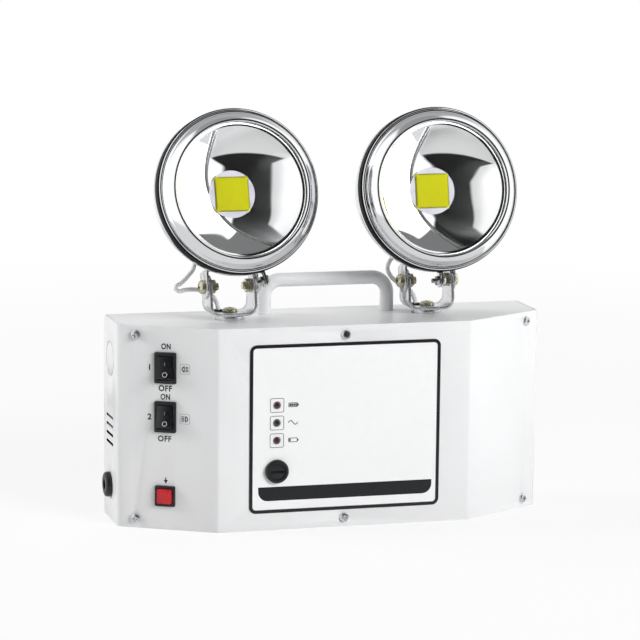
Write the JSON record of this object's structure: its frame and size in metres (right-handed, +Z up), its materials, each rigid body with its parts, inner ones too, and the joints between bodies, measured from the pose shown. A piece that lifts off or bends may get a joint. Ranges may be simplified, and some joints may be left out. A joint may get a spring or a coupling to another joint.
{
  "type": "twin head emergency light",
  "caption": "Emergency light with a folded steel casing, spot heads on swivel brackets, carrying handle, rocker switches, test button, indicators and fuse.",
  "frame": {"origin": "centre of the casing's bottom face, halfway between the back plate and the front panel", "axes": "X to the viewer's right along the casing, Y from the front panel to the back plate, Z up"},
  "size_m": [0.3, 0.0958, 0.2796],
  "materials": {
    "casing_paint": "satin white powder coat",
    "handle_paint": "light grey powder coat, satin",
    "screw_zinc": "bright zinc plated steel",
    "label_sheet": "printed plastic sheet, smooth",
    "black_plastic": "moulded, fine grain",
    "rocker_plastic": "moulded, semi gloss",
    "red_plastic": "translucent red, moulded",
    "fuse_metal": "nickelled end caps on a glass tube",
    "red_led": "clear dark red resin, unlit",
    "green_led": "clear dark green resin, unlit",
    "board_laminate": "solder mask on glass laminate",
    "board_part_plastic": "moulded cases",
    "core_steel": "stacked steel sheets, varnished",
    "coil_copper": "varnished copper winding",
    "battery_plastic": "moulded case",
    "bowl_metal": "pressed steel, plated",
    "black_rubber": "moulded, matt",
    "bracket_zinc": "satin grey zinc plating",
    "disc_zinc": "turned, satin",
    "bolt_zinc": "yellow zinc plated steel",
    "rim_chrome": "polished chrome plating",
    "lens_glass": "clear, slightly domed",
    "reflector_mirror": "vacuum coated mirror",
    "plate_aluminium": "matt, milled",
    "chip_yellow": "yellow phosphor under clear silicone",
    "lead_plastic": "white plastic sheath"
  },
  "bodies": {
    "casing": {"chassis": "casing_paint", "front_cover": "casing_paint", "cover_screws": "screw_zinc", "front_label": "label_sheet", "carry_handle": "handle_paint", "handle_screws": "screw_zinc", "upper_switch_body": "black_plastic", "lower_switch_body": "black_plastic", "test_switch_body": "black_plastic", "test_spring": "screw_zinc", "fuse_holder": "black_plastic", "fuse": "fuse_metal", "red_indicators": "red_led", "green_indicator": "green_led", "circuit_board": "board_laminate", "board_parts": "board_part_plastic", "board_studs": "screw_zinc", "transformer_core": "core_steel", "transformer_coil": "coil_copper", "battery": "battery_plastic", "battery_strap": "screw_zinc", "cord_gland": "black_plastic", "left_swivel_bolt": "bolt_zinc", "right_swivel_bolt": "bolt_zinc"},
    "left_swivel": {"left_bracket": "bracket_zinc", "left_tilt_bolts": "bolt_zinc", "left_base_grommet": "black_rubber", "left_disc": "disc_zinc", "left_lamp_lead": "lead_plastic"},
    "left_head": {"left_bowl": "bowl_metal", "left_bowl_grommet": "black_rubber", "left_yoke": "bracket_zinc", "left_yoke_rivets": "screw_zinc", "left_rim": "rim_chrome", "left_rim_screw": "screw_zinc", "left_lens": "lens_glass", "left_gasket": "black_rubber", "left_reflector": "reflector_mirror", "left_led_plate": "plate_aluminium", "left_led_chip": "chip_yellow"},
    "right_swivel": {"right_bracket": "bracket_zinc", "right_tilt_bolts": "bolt_zinc", "right_base_grommet": "black_rubber", "right_disc": "disc_zinc", "right_lamp_lead": "lead_plastic"},
    "right_head": {"right_bowl": "bowl_metal", "right_bowl_grommet": "black_rubber", "right_yoke": "bracket_zinc", "right_yoke_rivets": "screw_zinc", "right_rim": "rim_chrome", "right_rim_screw": "screw_zinc", "right_lens": "lens_glass", "right_gasket": "black_rubber", "right_reflector": "reflector_mirror", "right_led_plate": "plate_aluminium", "right_led_chip": "chip_yellow"},
    "upper_rocker": {"upper_rocker": "rocker_plastic"},
    "lower_rocker": {"lower_rocker": "rocker_plastic"},
    "test_button": {"test_button": "red_plastic"},
    "fuse_cap": {"fuse_cap": "black_plastic"}
  },
  "joints": [
    {"name": "left_pan", "type": "hinge", "parent": "casing", "child": "left_swivel", "pos_m": [-0.0695, 0.003, 0.14], "axis": [0, 0, 1], "range_deg": [-48, 12]},
    {"name": "left_tilt", "type": "hinge", "parent": "left_swivel", "child": "left_head", "pos_m": [-0.0695, 0.003, 0.1593], "axis": [-0.9986, -0.0523, 0], "range_deg": [-40, 25], "deforming": ["left_lamp_lead"]},
    {"name": "right_pan", "type": "hinge", "parent": "casing", "child": "right_swivel", "pos_m": [0.0695, 0.003, 0.14], "axis": [0, 0, 1], "range_deg": [-16, 44]},
    {"name": "right_tilt", "type": "hinge", "parent": "right_swivel", "child": "right_head", "pos_m": [0.0695, 0.003, 0.1593], "axis": [-0.9998, -0.0175, 0], "range_deg": [-36.5, 28.5], "deforming": ["right_lamp_lead"]},
    {"name": "upper_rocker_turn", "type": "hinge", "parent": "casing", "child": "upper_rocker", "pos_m": [-0.119, -0.02077, 0.1095], "axis": [0.8656, -0.5008, 0], "range_deg": [0, 24]},
    {"name": "lower_rocker_turn", "type": "hinge", "parent": "casing", "child": "lower_rocker", "pos_m": [-0.119, -0.02077, 0.0765], "axis": [0.8656, -0.5008, 0], "range_deg": [0, 24]},
    {"name": "test_press", "type": "slide", "parent": "casing", "child": "test_button", "axis": [0.5008, 0.8656, 0], "range_m": [0, 0.002], "stiffness_N_per_m": 300, "springref_m": -0.002, "deforming": ["test_spring"]},
    {"name": "fuse_turn", "type": "hinge", "parent": "casing", "child": "fuse_cap", "pos_m": [-0.0474, -0.039, 0.0402], "axis": [0, -1, 0], "range_deg": [0, 90]}
  ]
}
